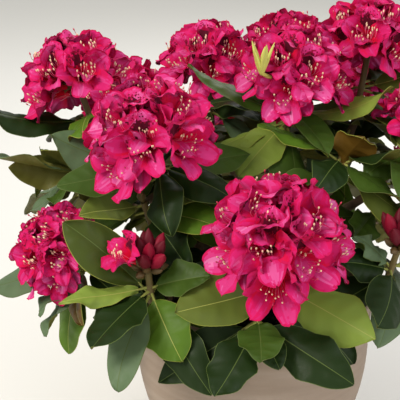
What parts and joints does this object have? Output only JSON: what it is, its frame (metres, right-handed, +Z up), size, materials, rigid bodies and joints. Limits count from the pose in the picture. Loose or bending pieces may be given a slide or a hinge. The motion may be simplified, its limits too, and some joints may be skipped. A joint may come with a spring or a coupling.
{
  "type": "potted rhododendron",
  "caption": "Evergreen flowering shrub with round crimson trusses and whorled leathery leaves, in a round-bellied stoneware patio pot filled with compost.",
  "frame": {"origin": "middle of the pot's flat underside, on the surface it stands on", "axes": "+Z up through the pot; the front of the plant, as pictured, faces -Y, and +X is to its right"},
  "size_m": [0.5753, 0.5178, 0.5295],
  "materials": {
    "pottery": "matte",
    "compost": "matte, crumbly",
    "bark": "matte, fissured",
    "foliage": "glossy upper side",
    "blossom": "satin",
    "bud": "satin"
  },
  "bodies": {
    "root": {"pot": "pottery", "compost": "compost", "trunk": "bark", "bough_centre": "bark", "bough_left": "bark", "bough_rear_left": "bark", "bough_front": "bark", "bough_rear_right": "bark", "bough_right": "bark", "bough_back": "bark", "bough_low_left": "bark", "bough_rear_middle": "bark", "bough_rear_centre": "bark", "bough_back_left": "bark", "bough_back_right": "bark", "bough_low_right": "bark", "bough_bud_left": "bark", "bough_bud_right": "bark", "bough_inner_left": "bark", "bough_inner_right": "bark", "bough_mid_right": "bark", "bough_side_left": "bark", "bough_low_front": "bark", "bough_low_back": "bark", "truss_centre": "blossom", "truss_left": "blossom", "truss_rear_left": "blossom", "truss_front": "blossom", "truss_rear_right": "blossom", "truss_right": "blossom", "truss_back": "blossom", "truss_low_left": "blossom", "truss_rear_middle": "blossom", "truss_rear_centre": "blossom", "truss_back_left": "blossom", "truss_back_right": "blossom", "truss_low_right": "blossom", "buds_bud_left": "bud", "buds_bud_right": "bud", "leaves_centre": "foliage", "leaves_left": "foliage", "leaves_rear_left": "foliage", "leaves_front": "foliage", "leaves_rear_right": "foliage", "leaves_right": "foliage", "leaves_back": "foliage", "leaves_low_left": "foliage", "leaves_rear_middle": "foliage", "leaves_rear_centre": "foliage", "leaves_back_left": "foliage", "leaves_back_right": "foliage", "leaves_low_right": "foliage", "leaves_bud_left": "foliage", "leaves_bud_right": "foliage", "leaves_inner_left": "foliage", "leaves_inner_right": "foliage", "leaves_mid_right": "foliage", "leaves_side_left": "foliage", "leaves_low_front": "foliage", "leaves_low_back": "foliage"}
  },
  "joints": []
}
